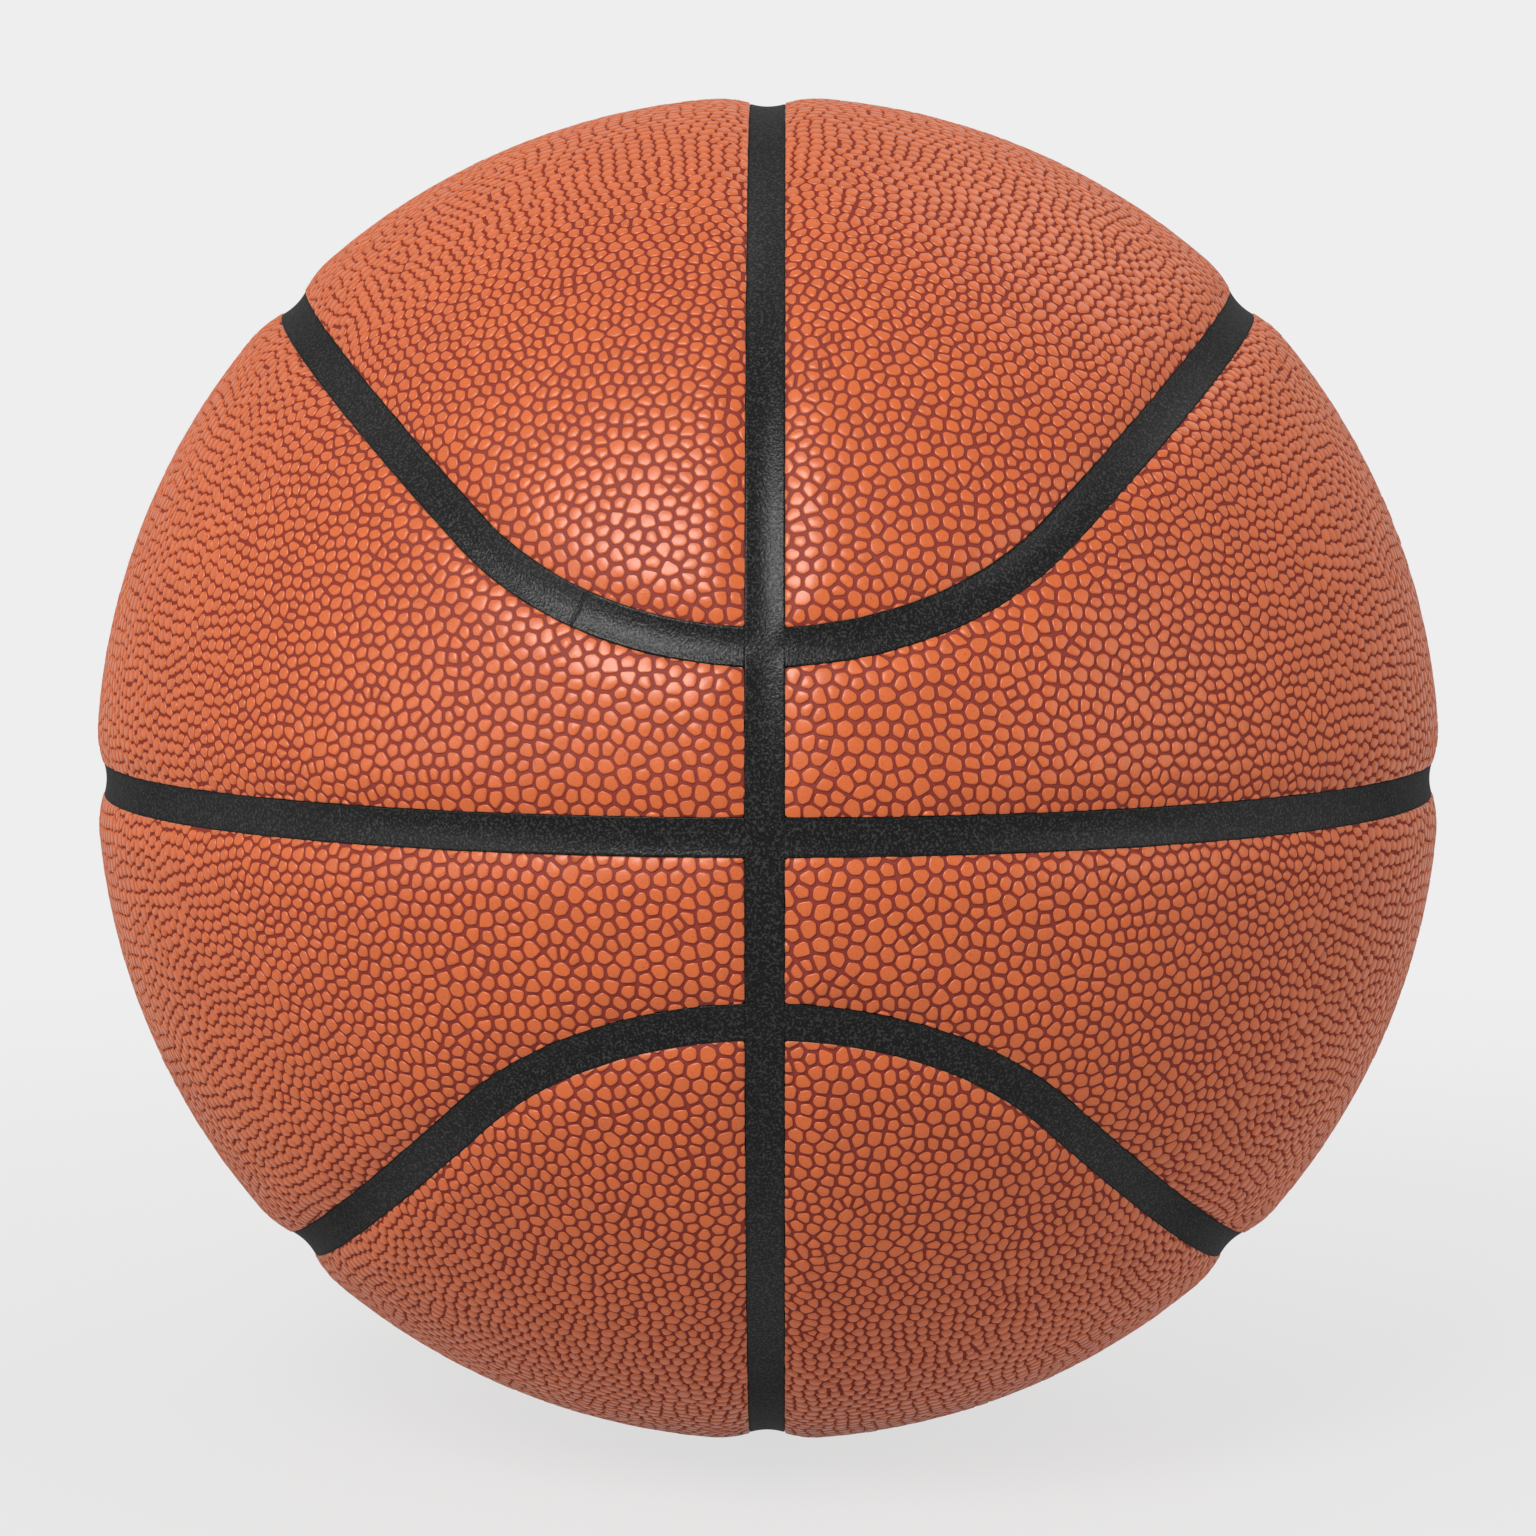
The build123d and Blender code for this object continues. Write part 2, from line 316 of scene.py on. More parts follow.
def raise_pebbles(bm):
    """Turns each cell of a bmesh into a valley, a wall and a top."""
    relief, tone, _ = add_layers(bm)
    for vert in bm.verts:
        vert[tone] = 0.5
    tops = bm.faces[:]
    bmesh.ops.inset_individual(bm, faces=tops, thickness=valley_half_width, use_even_offset=True)
    corners = {vert for top in tops for vert in top.verts}
    sides = {edge for top in tops for edge in top.edges}
    bmesh.ops.bisect_edges(bm, edges=list(sides), cuts=1)
    spread = rng.normal(0, 1, (len(tops), 2))
    tones = rng.random(len(tops))
    for top, (size, _), shade in zip(tops, spread, tones):
        ring = list(top.verts)
        round_off(ring, corners, corner_rounding)
        round_off(ring, ring, ring_rounding)
        middle = top.calc_center_median()
        for vert in ring:
            vert.co = middle + (vert.co - middle) * (1 + size_spread * size)
            vert[relief] = foot_relief
            vert[tone] = shade
    feet = {edge for top in tops for edge in top.edges}
    bmesh.ops.inset_individual(bm, faces=tops, thickness=wall_width, use_even_offset=True)
    for edge in bm.edges:
        edge.smooth = edge not in feet
    for top, (_, height), shade in zip(tops, spread, tones):
        for vert in top.verts:
            vert[relief] = 1 + relief_spread * height
            vert[tone] = shade
    return len(tops)


print(f"valleys {2 * valley_half_width / mm:.2f} mm wide, walls {wall_width / mm:.2f} mm")

# %% [markdown]
# ## Cutting the panels out
#
# Real panels are stamped out of an embossed sheet, so the knife goes straight through pebbles. Here
# `bisect_plane` is the knife. The meridian, the equator and the legs are planes beside the seam's
# own plane. Beside a bend the plane is square to the bend's axis and only cuts the faces that lie
# beside that bend.

# %% Cut one panel out of the pebbled ball
spare_pebbles = 1.6
margin = spare_pebbles * pebble_pitch
crown_side = {"crown": 1, "equator": -1}
knife_tolerance = 1e-8
valve_direction = Vector(frame["record"]["mounts"][0]["axis"]).normalized()
edge_roll = 0.12 * mm
cut_edge = panel_edge + edge_roll
hole_in_solid = 3.65 * mm
valve_hole_radius = hole_in_solid + edge_roll
hole_reach = 3
corner_snip = 0.22 * mm
corner_reach = 3 * mm


def score(bm, faces, normal, distance):
    """Cuts faces along a plane and leaves both sides in place."""
    parts = set(faces)
    for face in faces:
        parts.update(face.edges)
        parts.update(face.verts)
    bmesh.ops.bisect_plane(
        bm, geom=list(parts), dist=knife_tolerance, plane_co=normal * distance, plane_no=normal
    )


def face_middles(faces):
    """The middles of faces, as an array."""
    return np.array([face.calc_center_median() for face in faces])


def depth_in_panel(points, kind, side, level):
    """How far points lie inside a panel, measured from the middle of the nearest seam round it."""
    x, _, z = ball_directions(points).T
    beside = ball_radius * np.arcsin(np.clip(side * x, -1, 1))
    above = ball_radius * np.arcsin(np.clip(level * z, -1, 1))
    inside = crown_side[kind] * curved_seam_distance(points)
    return np.minimum(np.minimum(beside, above), inside)


def pick(faces, wanted):
    """The faces for which a list of yes and no says yes."""
    return [face for face, yes in zip(faces, wanted) if yes]


def drop_faces(bm, unwanted):
    """Deletes the unwanted faces, with the edges and vertices that only they use."""
    bmesh.ops.delete(bm, geom=pick(bm.faces[:], unwanted), context="FACES")


def cells_of_panel(kind, side, level):
    """A bmesh of the cells that a panel needs, with some to spare beyond its edges."""
    bm = bmesh.new()
    bm.from_mesh(cell_mesh)
    drop_faces(bm, depth_in_panel(cell_middles, kind, side, level) < -margin)
    return bm


def cut_panel(bm, kind, side, level):
    """Cuts a panel's edges at all the seams round it."""
    score(bm, bm.faces[:], Vector((side, 0, 0)), cut_edge)
    score(bm, bm.faces[:], Vector((0, 0, level)), cut_edge)
    faces = bm.faces[:]
    middles = face_middles(faces)
    bend, ahead = in_bend(middles), middles[:, 1] < 0
    inward = crown_side[kind]
    score(bm, pick(faces, ~bend), leg_axis(side, level), inward * cut_edge)
    bend_edge = ball_radius * math.cos(bend_angle - inward * cut_edge / ball_radius)
    for chosen, end in ((bend & ahead, -1), (bend & ~ahead, 1)):
        score(bm, pick(faces, chosen), bend_axis(end, level), bend_edge)
    drop_faces(bm, depth_in_panel(face_middles(bm.faces), kind, side, level) < cut_edge)


def along_surface(direction, spot):
    """The part of a direction that runs along the ball's surface at a spot."""
    outward = spot.normalized()
    return (direction - outward * direction.dot(outward)).normalized()


def panel_corners(kind, side, level):
    """A panel's corners beside the meridian, each with the direction from it into the panel."""
    inward = crown_side[kind]
    away = Vector((side, 0, 0))
    corners = []
    for end in (-1, 1):
        axis = bend_axis(end, level)
        down = Vector((0, end * math.sin(bend_elevation), -level * math.cos(bend_elevation)))
        angle = bend_angle - inward * cut_edge / ball_radius
        turn = math.asin(cut_edge / ball_radius / math.sin(angle))
        spoke = math.cos(turn) * down + math.sin(turn) * away
        corner = ball_radius * (math.cos(angle) * axis + math.sin(angle) * spoke)
        corners.append((corner, inward * axis))
        if kind == "equator":
            ahead = math.sqrt(ball_radius**2 - 2 * cut_edge**2)
            corner = Vector((side * cut_edge, end * ahead, level * cut_edge))
            corners.append((corner, Vector((0, 0, level))))
    return [(spot, along_surface(away, spot) + along_surface(into, spot)) for spot, into in corners]


def snip_corners(bm, kind, side, level):
    """Takes the tips off a panel's corners, as the punch that stamps it out is a little round."""
    corners = [(spot, into.normalized()) for spot, into in panel_corners(kind, side, level)]
    faces = bm.faces[:]
    middles = face_middles(faces)
    for spot, into in corners:
        close = np.linalg.norm(middles - np.array(spot), axis=1) < corner_reach
        score(bm, pick(faces, close), into, corner_snip)
    middles = face_middles(bm.faces)
    tips = np.zeros(len(middles), bool)
    for spot, into in corners:
        close = np.linalg.norm(middles - np.array(spot), axis=1) < corner_reach
        tips |= close & (middles @ np.array(into) < corner_snip)
    drop_faces(bm, tips)


def cut_valve_hole(bm):
    """Cuts the round hole that the valve comes through."""
    hole_angle = valve_hole_radius / ball_radius
    away = [face.calc_center_median().angle(valve_direction) for face in bm.faces]
    near = pick(bm.faces[:], [angle < hole_reach * hole_angle for angle in away])
    score(bm, near, valve_direction, ball_radius * math.cos(hole_angle))
    drop_faces(bm, ball_directions(face_middles(bm.faces)) @ valve_direction > math.cos(hole_angle))


print(f"panels are cut {cut_edge / mm:.2f} mm beside the middles of the seams")

# %% [markdown]
# ## Giving the panels their relief
#
# The panels swell between the seams and roll down to the strips. How far a point lies under the
# ball's full size depends only on its distance to the nearest seam, and near a corner two seams add
# up. The cut edge is the panel's thickness: its border wavers a little, as leather does under a
# knife, and is extruded twice, first over the rounded rim and then down between the panel and the
# strip.

# %% Sink the edges of one panel and raise its pebbles
pebble_height = 0.42 * mm
shoulder_reach = 10 * mm
shoulder_drop = 1.1 * mm
edge_depth = 0.55 * mm
roll_depth = 0.1 * mm
roll_relief = 0.6
waver_depth = 0.12 * mm
waver_length = 3 * mm
corner_power = 6
sag_limit = 1.2


def shoulder_sag(points):
    """How far the panels lie under the ball's full size, from the distances to the seams."""
    near = (shoulder_reach - seam_distances(points)) / (shoulder_reach - panel_edge)
    near = np.clip(near, 0, sag_limit)
    return shoulder_drop * (near ** (2 * corner_power)).sum(axis=0) ** (1 / corner_power)


def away_from_panel(border):
    """The direction along the surface that leads out of the panel, at each vertex of its border."""
    outward = {}
    for edge in border:
        one, two = edge.verts
        along = (two.co - one.co).normalized()
        off = (one.co + two.co) / 2 - edge.link_faces[0].calc_center_median()
        off = (off - along * off.dot(along)).normalized()
        for vert in edge.verts:
            outward[vert] = outward.get(vert, Vector()) + off
    return {vert: direction.normalized() for vert, direction in outward.items()}


def extrude_border(bm, border):
    """Extrudes a panel's border in place, and returns each new vertex with the one it came from."""
    old = {vert for edge in border for vert in edge.verts}
    pairs = []
    for part in bmesh.ops.extrude_edge_only(bm, edges=border)["geom"]:
        if isinstance(part, bmesh.types.BMVert):
            others = [edge.other_vert(part) for edge in part.link_edges]
            pairs.append((part, next(vert for vert in others if vert in old)))
    return pairs


def turn_in_edges(bm):
    """Rolls the border of a panel over and sinks it, as its cut edge."""
    cut_layer = bm.verts.layers.float["cut"]
    relief = bm.verts.layers.float["relief"]
    border = [edge for edge in bm.edges if edge.is_boundary]
    outward = away_from_panel(border)
    for vert, direction in outward.items():
        vert.co += direction * waver_depth * noise.noise(vert.co / waver_length)
    for vert, source in extrude_border(bm, border):
        vert.co += edge_roll * outward[source]
        vert[relief] = source[relief] * roll_relief
        vert[cut_layer] = roll_depth / edge_depth
    border = [edge for edge in bm.edges if edge.is_boundary]
    for vert, _ in extrude_border(bm, border):
        vert[relief] = 0
        vert[cut_layer] = 1
    for edge in border:
        edge.smooth = False


def sink(mesh, points, depth):
    """Moves a mesh's vertices straight under the given points, each to its own depth."""
    places = ball_directions(points) * (ball_radius - depth)[:, None]
    mesh.vertices.foreach_set("co", places.astype(np.float32).ravel())


def sink_to_relief(mesh):
    """Moves each vertex in or out to where its relief, the seams and the cut edge put it."""
    points = read_points(mesh)
    relief, edge = read_attribute(mesh, "relief"), read_attribute(mesh, "cut")
    depth = shoulder_sag(points) + pebble_height * (1 - relief) + edge_depth * edge
    sink(mesh, points, depth)


print(f"pebbles {pebble_height / mm:.2f} mm high, shoulders {shoulder_drop / mm:.2f} mm low")

# %% [markdown]
# ## The eight panels
#
# All the panels go through the same steps: cells, pebbles, cuts, edges and relief. They could be
# made once and mirrored, but then the pebbles would mirror too, and the eye finds such repeats at
# once. So each is cut from its own part of the ball. A Weighted Normal modifier lets the large
# faces set the shading, so the tops look flat and the walls crisp. Each panel also gets a flat map
# of itself, for programs that bake its colours.

# %% Make the eight panels
sides = {"right": 1, "left": -1}
levels = {"upper": 1, "lower": -1}
farthest_cosine = -0.9
panels = []


def lay_out_flat(mesh, middle):
    """Gives a panel a map for baking: its outside seen from its own middle, in one piece."""
    middle = middle.normalized()
    across = middle.orthogonal().normalized()
    along = middle.cross(across)
    outward = ball_directions(read_points(mesh))
    spread = np.sqrt(2 / (1 + np.clip(outward @ np.array(middle), farthest_cosine, 1)))
    flat = np.stack([outward @ np.array(across), outward @ np.array(along)], axis=1)
    flat = flat * spread[:, None]
    flat = (flat - flat.min(axis=0)) / (flat.max(axis=0) - flat.min(axis=0)).max()
    corners = np.empty(len(mesh.loops), np.int32)
    mesh.loops.foreach_get("vertex_index", corners)
    layer = mesh.uv_layers.new(name="OFBake")
    layer.data.foreach_set("uv", flat[corners].astype(np.float32).ravel())


def add_piece(name, mesh, replaced):
    """Puts a finished mesh in the scene, on the ball, in place of a solid part."""
    piece = bpy.data.objects.new(name, mesh)
    bpy.context.scene.collection.objects.link(piece)
    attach(piece, "root")
    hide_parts(replaced)
    return piece


for kind in ("crown", "equator"):
    for level_name, level in levels.items():
        for side_name, side in sides.items():
            place = f"{kind}_{level_name}_{side_name}"
            bm = cells_of_panel(kind, side, level)
            count = raise_pebbles(bm)
            set_on_ball(bm, np.array([vert.co for vert in bm.verts]))
            cut_panel(bm, kind, side, level)
            snip_corners(bm, kind, side, level)
            if place == "crown_upper_right":
                cut_valve_hole(bm)
            turn_in_edges(bm)
            for face in bm.faces:
                face.smooth = True
            mesh = bpy.data.meshes.new(f"cover_{place}")
            bm.to_mesh(mesh)
            bm.free()
            sink_to_relief(mesh)
            lay_out_flat(mesh, sum(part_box(f"panel_{place}"), Vector()) / 2)
            panel = add_piece(f"cover_{place}", mesh, f"panel_{place}")
            flat_tops = panel.modifiers.new("flat tops", "WEIGHTED_NORMAL")
            flat_tops.keep_sharp = True
            panels.append(panel)
            triangles = sum(len(face.vertices) - 2 for face in mesh.polygons)
            print(f"cover_{place}: {count} pebbles, {triangles} triangles")
print(f"{len(panels)} panels in {time.time() - started:.1f} s")

# %% [markdown]
# ## The leather
#
# The cover is composite leather: orange-brown on the tops of the pebbles and deeper red-brown in
# the
# valleys. Towards the foot of each pebble the valley turns darker, down to a dark line at the foot:
# that is painted shade, where the wall meets the valley. The relief that shaped the pebbles now
# also colours them, so the two can never drift apart. Fine noise gives the grain, dark pores and a
# little unevenness of tint, and each pebble's own tone makes neighbours differ slightly. Where the
# sheet was cut, its pale backing shows. The tops shine more than the valleys, and all of it turns
# duller where it is seen aslant, as a fine grain makes it.

# %% Material helpers
dullest_slant = 0.65


def new_material(name):
    """A material with its node tree and its shader."""
    material = bpy.data.materials.new(name)
    material.use_nodes = True
    tree = material.node_tree
    return material, tree, tree.nodes["Principled BSDF"]


def add_node(tree, kind, inputs=None, **settings):
    """A node with some settings, its inputs set to values or linked to other nodes' outputs."""
    node = tree.nodes.new(kind)
    for name, value in settings.items():
        setattr(node, name, value)
    for socket, value in (inputs or {}).items():
        if isinstance(value, bpy.types.NodeSocket):
            tree.links.new(value, node.inputs[socket])
        else:
            node.inputs[socket].default_value = value
    return node


def add_ramp(tree, factor, stops):
    """A colour ramp with stops of (position, colour), or of (position, grey)."""
    node = add_node(tree, "ShaderNodeValToRGB", {"Fac": factor})
    elements = node.color_ramp.elements
    while len(elements) < len(stops):
        elements.new(1)
    for element, (position, colour) in zip(elements, stops):
        element.position = position
        shade = colour if isinstance(colour, tuple) else (colour,) * 3
        element.color = (*shade, 1)
    return node.outputs["Color"]


def add_noise(tree, size, detail=2.0, roughness=0.5):
    """Noise on the piece's own coordinates, with lumps of about the given size."""
    place = add_node(tree, "ShaderNodeTexCoord").outputs["Object"]
    inputs = {"Vector": place, "Scale": 1 / size, "Detail": detail, "Roughness": roughness}
    return add_node(tree, "ShaderNodeTexNoise", inputs).outputs["Fac"]


def add_attribute(tree, name):
    """A number that the piece's vertices carry."""
    return add_node(tree, "ShaderNodeAttribute", attribute_name=name).outputs["Fac"]


def add_mix(tree, blend, factor, first, second):
    """Two colours mixed. A Mix node's colour sockets come after those for numbers and vectors."""
    node = add_node(tree, "ShaderNodeMix", data_type="RGBA", blend_type=blend)
    sockets = {"Factor": node.inputs[0], "A": node.inputs[6], "B": node.inputs[7]}
    for key, value in (("Factor", factor), ("A", first), ("B", second)):
        if isinstance(value, bpy.types.NodeSocket):
            tree.links.new(value, sockets[key])
        else:
            sockets[key].default_value = value
    return node.outputs[2]


def dull_aslant(tree, gloss, slant, dull):
    """Roughness that grows to a dull one where the surface is seen aslant."""
    facing = add_node(tree, "ShaderNodeLayerWeight").outputs["Facing"]
    turned = add_ramp(tree, facing, [(slant, 0), (dullest_slant, 1)])
    return add_mix(tree, "MIX", turned, gloss, dull)


def add_grain_bump(tree, shader, height, strength, depth):
    """Bump of the given depth, for grain too fine to model."""
    inputs = {"Height": height, "Strength": strength, "Distance": depth}
    bump = add_node(tree, "ShaderNodeBump", inputs)
    tree.links.new(bump.outputs["Normal"], shader.inputs["Normal"])


def darken(tree, colour, shade):
    """A colour multiplied by a shade."""
    return add_mix(tree, "MULTIPLY", 1.0, colour, shade)


print("helpers ready: noise, ramp, attribute, mix, dull_aslant, grain bump and darken")

# %% Make the leather
valley_middle = (0.26, 0.016, 0.0005)
# The next two colours are painted shade at the foot of each pebble, where the wall meets the
# valley.
valley_shade_near_foot = (0.22, 0.01, 0.0005)
painted_foot_shade = (0.07, 0.003, 0.001)
wall_orange = (0.4, 0.056, 0.009)
top_orange = (0.627, 0.119, 0.018)
pale_backing = (0.56, 0.26, 0.17, 1)
tint_size = 30 * mm
speckle_size = 0.22 * mm
pore_size = 0.35 * mm
leather_slant = 0.25

leather, tree, shader = new_material("pebbled_leather")
relief = add_attribute(tree, "relief")
# Colour by relief: the valley's darkening towards each pebble and the dark foot line are painted
# shade.
colour = add_ramp(
    tree,
    relief,
    [
        (0.0, valley_middle),
        (0.05, valley_shade_near_foot),
        (0.085, painted_foot_shade),
        (0.14, wall_orange),
        (0.28, top_orange),
    ],
)
tone = add_ramp(tree, add_attribute(tree, "tone"), [(0, 0.92), (1, 1.0)])
colour = darken(tree, colour, tone)
tint = add_ramp(tree, add_noise(tree, tint_size), [(0.3, (0.95, 0.92, 0.9)), (0.7, (1, 1, 1))])
colour = darken(tree, colour, tint)
speckle = add_noise(tree, speckle_size, detail=3, roughness=0.7)
colour = darken(tree, colour, add_ramp(tree, speckle, [(0.3, 0.74), (0.58, 1.0)]))
pores = add_noise(tree, pore_size, detail=1)
colour = darken(tree, colour, add_ramp(tree, pores, [(0.24, 0.55), (0.3, 1.0)]))
cut = add_ramp(tree, add_attribute(tree, "cut"), [(0.05, 0.0), (0.2, 0.8)])
colour = add_mix(tree, "MIX", cut, colour, pale_backing)
tree.links.new(colour, shader.inputs["Base Color"])
gloss = add_ramp(tree, relief, [(0, 0.7), (0.3, 0.36), (1, 0.33)])
dull = add_ramp(tree, relief, [(0.2, 0.9), (0.9, 0.42)])
tree.links.new(dull_aslant(tree, gloss, leather_slant, dull), shader.inputs["Roughness"])
shader.inputs["Specular IOR Level"].default_value = 0.56
add_grain_bump(tree, shader, speckle, strength=0.35, depth=0.03 * mm)
for panel in panels:
    panel.data.materials.append(leather)
print(f"leather on {len(panels)} panels")

# %% [markdown]
# ## The strips in the seams
#
# Black rubber strips fill the seams. Each is hollow across, so that fingers find the seam, and
# where two strips meet their hollows run into each other. A row of points across the strip is spun
# along the seam: about the seam's own axis for the great circles, and from bend to leg to bend for
# the curved ones. The strips at the equator and the curved ones are cut off where the one at the
# meridian runs through. In one of them the ends of the rubber meet, and three cuts close together
# give the points that sink into that fine joint.

# %% Spin the strips along the seams
strip_rows = (-1, -0.94, -0.84, -0.66, -0.44, -0.22, 0, 0.22, 0.44, 0.66, 0.84, 0.94, 1)
strip_step = 1.1 * mm
strip_edge_drop = 1.25 * mm
strip_middle_drop = 1.75 * mm
strip_lip = 0.12 * mm
strip_skirt = 0.6 * mm
joint_half_width = 0.22 * mm
joint_depth = 0.2 * mm
joint_angle = math.radians(30.4)
joint_line = joint_half_width / 4
joint_reach = 2 * strip_half_width
edge_slack = 1.01
weld_distance = 0.01 * mm


def row_across(bm, middle, across):
    """A row of vertices and edges across a strip, lying on the ball."""
    verts = []
    for row in strip_rows:
        angle = row * strip_half_width / ball_radius
        place = math.cos(angle) * middle + math.sin(angle) * across
        verts.append(bm.verts.new(ball_radius * place))
    return verts + [bm.edges.new(pair) for pair in zip(verts, verts[1:])]


def spin_along(bm, row, axis, angle):
    """Spins a row about an axis through the ball's middle, in short steps, to a last row."""
    row = [part for part in row if part.is_valid]
    reach = abs(angle) * ball_radius * math.sin(axis.angle(row[len(strip_rows) // 2].co))
    made = bmesh.ops.spin(
        bm,
        geom=row,
        cent=(0, 0, 0),
        axis=axis,
        angle=angle,
        steps=round(reach / strip_step),
        use_merge=math.isclose(abs(angle), math.tau),
    )
    return made["geom_last"]


def cut_off_at_meridian(bm, side):
    """Cuts a strip off beside the one that runs along the meridian."""
    plane = Vector((side * strip_half_width, 0, 0))
    parts = bm.verts[:] + bm.edges[:] + bm.faces[:]
    bmesh.ops.bisect_plane(bm, geom=parts, plane_co=plane, plane_no=plane, clear_inner=True)


def hollow_drop(points):
    """How far the strips lie under the ball's full size, deepest in their middles and meetings."""
    share = np.clip(seam_distances(points) / strip_half_width, 0, 1) ** 2
    rise = np.ones(len(points))
    for one in share:
        rise = rise * one / np.maximum(rise + one - rise * one, 1e-9)
    return strip_middle_drop - (strip_middle_drop - strip_edge_drop) * rise


def cut_joint(bm, axis, spot):
    """Cuts a strip across at a spot beside an axis, and marks the points that sink there."""
    across = axis.cross(spot).normalized()
    joint = bm.verts.layers.float.new("joint")
    for offset in (-joint_half_width, 0, joint_half_width):
        off = [(face.calc_center_median() - spot).length for face in bm.faces]
        near = pick(bm.faces[:], [length < joint_reach for length in off])
        score(bm, near, across, offset)
    for vert in bm.verts:
        if (vert.co - spot).length < joint_reach and abs(vert.co.dot(across)) < joint_line:
            vert[joint] = 1


def turn_down_sides(bm):
    """Turns a strip's faces outwards and extrudes its border, which goes down into the seam."""
    bmesh.ops.recalc_face_normals(bm, faces=bm.faces[:])
    first = bm.faces[0]
    if first.normal.dot(first.calc_center_median()) < 0:
        bmesh.ops.reverse_faces(bm, faces=bm.faces[:])
    skirt = bm.verts.layers.float.new("skirt")
    border = [edge for edge in bm.edges if edge.is_boundary]
    lip = {vert for edge in border for vert in edge.verts}
    made = bmesh.ops.extrude_edge_only(bm, edges=border)["geom"]
    for vert in lip:
        near = seam_distances(np.array([vert.co]))[:, 0] < edge_slack * strip_half_width
        vert[skirt] = strip_lip / strip_skirt if near.sum() == 1 else 0
    for part in made:
        if isinstance(part, bmesh.types.BMVert):
            part[skirt] = 1


def finish_strip(bm, name):
    """Gives a strip its sides, sinks it into its seam and puts it in the scene."""
    if "joint" not in bm.verts.layers.float:
        bm.verts.layers.float.new("joint")
    turn_down_sides(bm)
    for face in bm.faces:
        face.smooth = True
    mesh = bpy.data.meshes.new(name)
    bm.to_mesh(mesh)
    bm.free()
    points = read_points(mesh)
    depth = hollow_drop(points) + strip_skirt * read_attribute(mesh, "skirt")
    depth += joint_depth * read_attribute(mesh, "joint")
    across = seam_distances(points).min(axis=0) / strip_half_width
    layer = mesh.attributes.new("across", "FLOAT", "POINT")
    layer.data.foreach_set("value", across.astype(np.float32))
    sink(mesh, points, depth)
    strips.append(add_piece(f"seam_{name}", mesh, f"strip_{name}"))
    print(f"seam_{name}: {len(mesh.polygons)} faces")


print(f"hollows {(strip_middle_drop - strip_edge_drop) / mm:.2f} mm deep across the strips")

# %% [markdown]
# ## The seven strips
#
# The strip along the meridian is a full ring, so its last row is merged with its first. The others
# are half rings and half loops that butt against it. Nobody can see under them, so they have a top
# and sides only.

# %% Make the seven strips
strips = []
lowest = bend_elevation - bend_angle
ahead = Vector((0, -1, 0))
upward = Vector((0, 0, 1))
rightward = Vector((1, 0, 0))

bm = bmesh.new()
spin_along(bm, row_across(bm, ahead, rightward), rightward, math.tau)
bmesh.ops.remove_doubles(bm, verts=bm.verts[:], dist=weld_distance)
finish_strip(bm, "meridian")

for side_name, side in sides.items():
    bm = bmesh.new()
    spin_along(bm, row_across(bm, ahead, upward), upward, side * math.pi)
    cut_off_at_meridian(bm, side)
    finish_strip(bm, f"equator_{side_name}")

for level_name, level in levels.items():
    for side_name, side in sides.items():
        bm = bmesh.new()
        start = Vector((0, -math.cos(lowest), level * math.sin(lowest)))
        across = Vector((0, math.sin(lowest), level * math.cos(lowest)))
        front, back, leg = bend_axis(-1, level), bend_axis(1, level), leg_axis(side, level)
        turn = side * level
        row = row_across(bm, start, across)
        for axis, sweep in ((front, bend_half_sweep), (leg, leg_sweep), (back, bend_half_sweep)):
            row = spin_along(bm, row, axis, turn * sweep)
        cut_off_at_meridian(bm, side)
        if (side, level) == (-1, 1):
            spot = start.copy()
            spot.rotate(Quaternion(front, turn * joint_angle))
            cut_joint(bm, front, ball_radius * spot)
        finish_strip(bm, f"curved_{level_name}_{side_name}")

# %% [markdown]
# ## The rubber
#
# The strips are black rubber with a fine leathery grain. The grain is under half a millimetre, far
# too small to model, so bump carries it and breaks the shine up into sparks. Seen aslant the rubber
# is dull. Along its edges, in the creases beside the panels, a strip is darkened with painted
# shade.
# The joint where two ends meet is darker too.

# %% Make the rubber
rubber_grain = 0.42 * mm
rubber_slant = 0.2
rubber_dull = (0.85, 0.85, 0.85, 1)

rubber, tree, shader = new_material("seam_rubber")
grain = add_noise(tree, rubber_grain, detail=2, roughness=0.6)
across = add_attribute(tree, "across")
colour = add_ramp(tree, grain, [(0.5, (0.0005, 0.0005, 0.0005)), (0.64, (0.032, 0.031, 0.031))])
# Painted shade: the strip darkens along its edges, in the creases beside the panels.
painted_edge_shade = add_ramp(tree, across, [(0.8, 1.0), (0.93, 0.55)])
colour = darken(tree, colour, painted_edge_shade)
joint_shade = add_ramp(tree, add_attribute(tree, "joint"), [(0, 1.0), (0.8, 0.2)])
tree.links.new(darken(tree, colour, joint_shade), shader.inputs["Base Color"])
gloss = add_ramp(tree, grain, [(0.35, 0.27), (0.65, 0.17)])
tree.links.new(dull_aslant(tree, gloss, rubber_slant, rubber_dull), shader.inputs["Roughness"])
shader.inputs["Specular IOR Level"].default_value = 0.2
add_grain_bump(tree, shader, grain, strength=1.0, depth=0.1 * mm)
for strip in strips:
    strip.data.materials.append(rubber)
print(f"rubber on {len(strips)} strips")

# %% [markdown]
# ## The layers inside
#
# Under the cover lie sponge cushions, a rubber carcass, a winding of thread and the bladder.
# Nothing of them shows, but each keeps a finish of its own, so that the part still looks right when
# someone takes it apart.

# %% Finish the inner layers and the valve
gloss_spread = 0.12


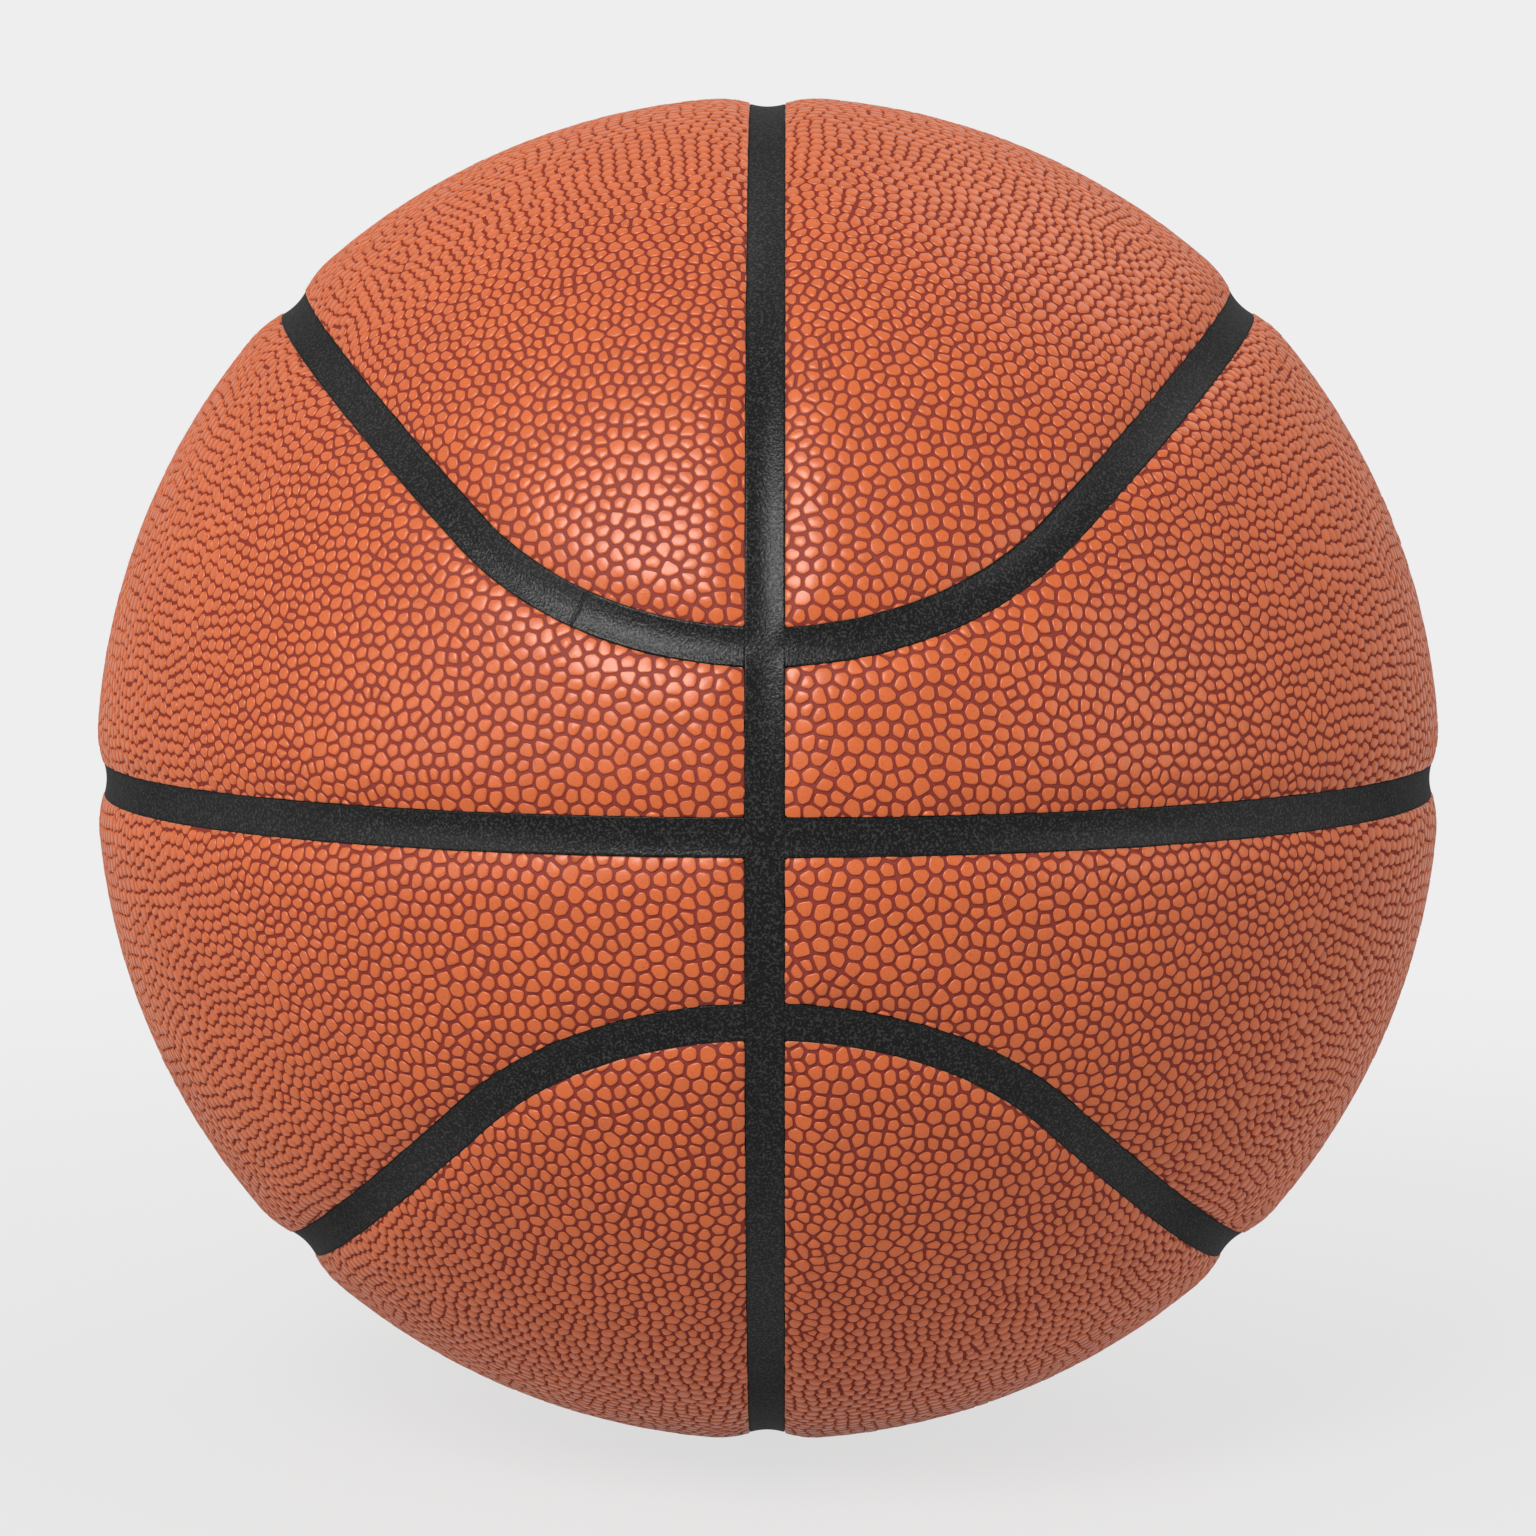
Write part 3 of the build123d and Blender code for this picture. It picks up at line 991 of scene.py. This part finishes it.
def plain_finish(name, dark, light, grain_size, roughness, bump_depth):
    """A finish of one material: two shades mixed by noise, with the same noise as its grain."""
    material, tree, shader = new_material(name)
    grain = add_noise(tree, grain_size, detail=4, roughness=0.6)
    colour = add_ramp(tree, grain, [(0.3, dark), (0.7, light)])
    tree.links.new(colour, shader.inputs["Base Color"])
    gloss = add_ramp(tree, grain, [(0.3, roughness), (0.7, roughness - gloss_spread)])
    tree.links.new(gloss, shader.inputs["Roughness"])
    add_grain_bump(tree, shader, grain, strength=0.5, depth=bump_depth)
    shader.inputs["Specular IOR Level"].default_value = 0.25
    return material


# Each row: name, dark and light shade, size of the grain, roughness, depth of the bump.
inner_rows = [
    ("bladder_rubber", (0.015, 0.014, 0.013), (0.03, 0.028, 0.026), 2 * mm, 0.5, 0.02 * mm),
    ("winding_thread", (0.66, 0.64, 0.58), (0.82, 0.8, 0.74), 0.8 * mm, 0.9, 0.1 * mm),
    ("carcass_rubber", (0.035, 0.031, 0.028), (0.058, 0.052, 0.047), 1 * mm, 0.7, 0.04 * mm),
    ("cushion_sponge", (0.54, 0.48, 0.35), (0.66, 0.6, 0.46), 0.6 * mm, 0.95, 0.1 * mm),
    ("valve_rubber", (0.018, 0.018, 0.018), (0.036, 0.036, 0.036), 0.4 * mm, 0.55, 0.02 * mm),
]
inner_finishes = {row[0].split("_")[0]: plain_finish(*row) for row in inner_rows}
for name, solid in solids.items():
    finish = inner_finishes.get(name.split("_")[0])
    if finish:
        solid.data.materials.clear()
        solid.data.materials.append(finish)
print("inner layers:", ", ".join(inner_finishes))

# %% [markdown]
# ## Floor, light and camera
#
# The ball rests on a plain pale floor under soft studio light: one large lamp high at the front
# left, which makes the broad shine on the left of the upright seam, weaker ones from the left, from
# the right and from above and behind, and a pale surround. The floor and the surround look the same
# pale grey to the camera and in reflections, so no horizon shows. Near the ball the floor shows
# some of its own shade, which has the shadow.

# %% Lay the floor
pale = 0.855
floor_half_width = 8
floor_grey = (0.62, 0.62, 0.62, 1)


def seen_rays(tree):
    """One for rays by which a surface is seen, straight, mirrored or through glass, else nought."""
    rays = add_node(tree, "ShaderNodeLightPath").outputs
    seen = rays["Is Camera Ray"]
    for kind in ("Is Glossy Ray", "Is Transmission Ray"):
        either = add_node(tree, "ShaderNodeMath", {0: seen, 1: rays[kind]}, operation="MAXIMUM")
        seen = either.outputs[0]
    return seen


floor_bm = bmesh.new()
bmesh.ops.create_grid(floor_bm, x_segments=1, y_segments=1, size=floor_half_width)
bmesh.ops.translate(floor_bm, verts=floor_bm.verts[:], vec=(0, 0, cad_box[0][2]))
floor_mesh = bpy.data.meshes.new("floor")
floor_bm.to_mesh(floor_mesh)
floor_bm.free()
floor = bpy.data.objects.new("floor", floor_mesh)
bpy.context.scene.collection.objects.link(floor)

paper, tree, shader = new_material("floor_paper")
shader.inputs["Base Color"].default_value = floor_grey
shader.inputs["Roughness"].default_value = 0.9
shader.inputs["Specular IOR Level"].default_value = 0
place = add_node(tree, "ShaderNodeTexCoord").outputs["Object"]
away = add_node(tree, "ShaderNodeVectorMath", {0: place}, operation="LENGTH").outputs["Value"]
fade = add_ramp(tree, away, [(0.1, 0.8), (0.6, 1.0)])
glow = add_node(tree, "ShaderNodeEmission", {"Color": (pale, pale, pale, 1), "Strength": 1.0})
share = add_node(tree, "ShaderNodeMath", {0: seen_rays(tree), 1: fade}, operation="MULTIPLY")
surfaces = {0: share.outputs[0], 1: shader.outputs[0], 2: glow.outputs[0]}
mixed = add_node(tree, "ShaderNodeMixShader", surfaces)
tree.links.new(mixed.outputs[0], tree.nodes["Material Output"].inputs["Surface"])
floor_mesh.materials.append(paper)
print(f"floor at {cad_box[0][2] / mm:.2f} mm, where the ball touches it")

# %% Light the ball
surround = 0.48
world = bpy.data.worlds.new("studio")
bpy.context.scene.world = world
world.use_nodes = True
tree = world.node_tree
backdrop = add_mix(
    tree, "MIX", seen_rays(tree), (surround, surround, surround, 1), (pale, pale, pale, 1)
)
tree.links.new(backdrop, tree.nodes["Background"].inputs["Color"])


def add_lamp(name, direction, distance, size, watts):
    """A square soft lamp that looks at the ball."""
    data = bpy.data.lights.new(name, "AREA")
    data.size = size
    data.energy = watts
    lamp = bpy.data.objects.new(name, data)
    lamp.location = Vector(direction).normalized() * distance
    lamp.rotation_euler = (-lamp.location).to_track_quat("-Z", "Y").to_euler()
    bpy.context.scene.collection.objects.link(lamp)


add_lamp("key_lamp", (-0.285, -0.755, 0.592), distance=1.2, size=0.5, watts=9.5)
add_lamp("top_lamp", (0.456, 0.391, 0.800), distance=1.3, size=0.7, watts=2)
add_lamp("left_lamp", (-0.8, -0.6, 0.1), distance=1.6, size=1.0, watts=4.8)
add_lamp("right_lamp", (0.85, -0.5, 0.2), distance=1.6, size=1.0, watts=3.8)
print(f"{len(bpy.data.lights)} lamps and a surround of {surround}")

# %% Set the camera
camera_distance = 744 * mm
camera_elevation = math.radians(5.15)
camera_azimuth = math.radians(0.25)
camera_data = bpy.data.cameras.new("camera")
camera_data.lens = 96.3
camera_data.sensor_width = 36
camera = bpy.data.objects.new("camera", camera_data)
bpy.context.scene.collection.objects.link(camera)
camera.location = camera_distance * Vector(
    (
        math.sin(camera_azimuth) * math.cos(camera_elevation),
        -math.cos(camera_azimuth) * math.cos(camera_elevation),
        math.sin(camera_elevation),
    )
)
camera.rotation_euler = (-camera.location).to_track_quat("-Z", "Y").to_euler()
bpy.context.scene.camera = camera
bpy.context.scene.view_settings.view_transform = "Standard"
print(f"camera {camera_distance / mm:.0f} mm from the ball, lens {camera_data.lens:.1f} mm")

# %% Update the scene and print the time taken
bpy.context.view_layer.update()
print(f"dressed in {time.time() - started:.1f} s")
